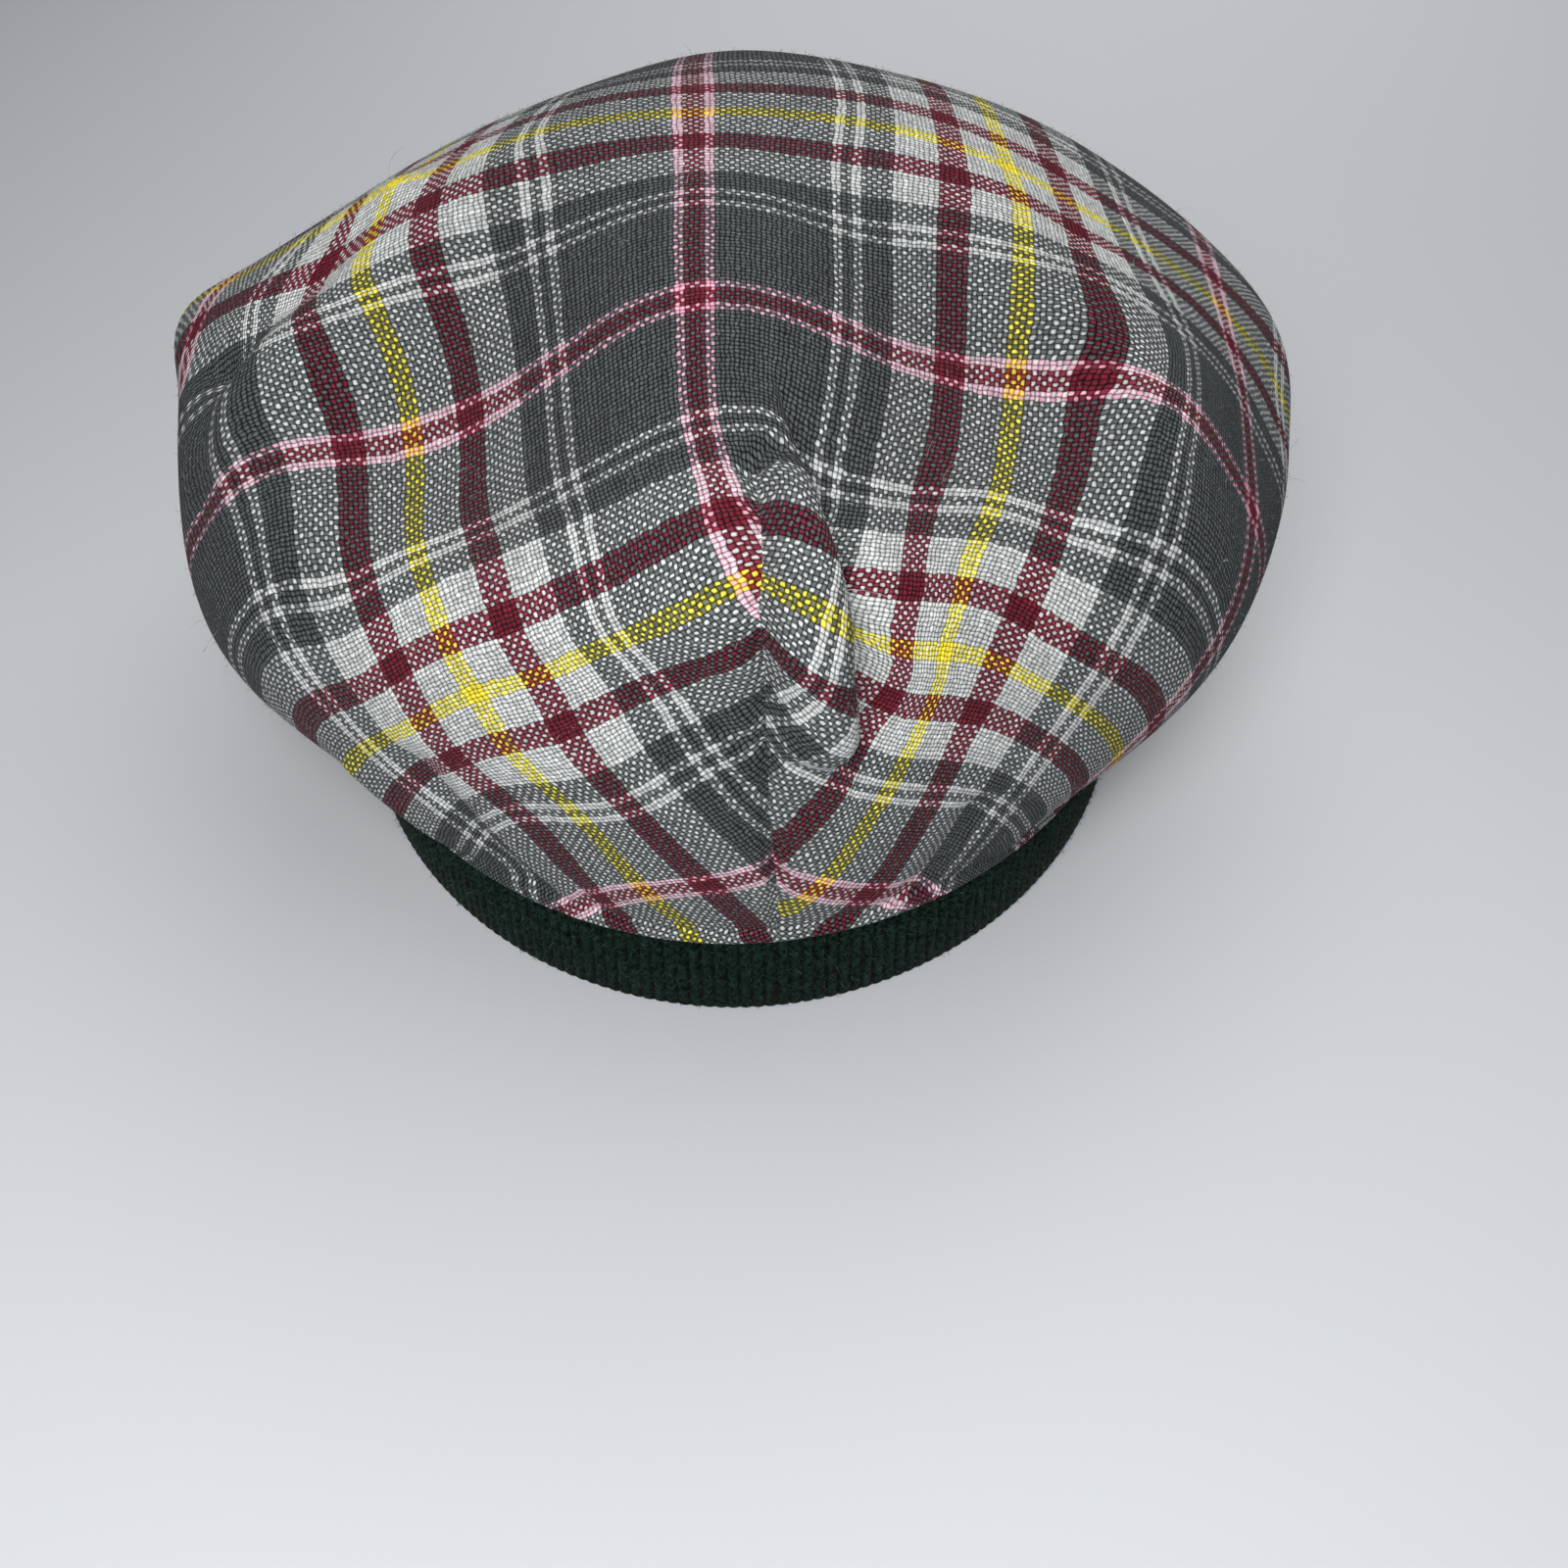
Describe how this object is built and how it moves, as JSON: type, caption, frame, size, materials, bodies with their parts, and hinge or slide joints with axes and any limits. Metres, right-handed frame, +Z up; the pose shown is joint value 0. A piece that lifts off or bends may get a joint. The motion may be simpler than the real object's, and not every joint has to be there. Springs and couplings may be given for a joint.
{
  "type": "flat cap",
  "caption": "Soft plaid flat cap with a full crown darted at the back, a rib-knit head band and a short stiff peak, resting on its band.",
  "frame": {"origin": "middle of the cap's bounding box, on the surface that it rests on", "axes": "+Z up, +Y to the front where the peak is, +X to the right side seen from behind"},
  "size_m": [0.2334, 0.2668, 0.132],
  "materials": {
    "plaid_cloth": "plain-woven grey plaid cloth with maroon, yellow, pink and white stripes, matt and slightly fuzzy",
    "rib_knit": "dark green rib knit, matt and woolly",
    "peak_cloth": "the crown's plaid cloth over a stiff board"
  },
  "bodies": {
    "root": {"crown": "plaid_cloth", "band": "rib_knit", "peak": "peak_cloth"}
  },
  "joints": []
}
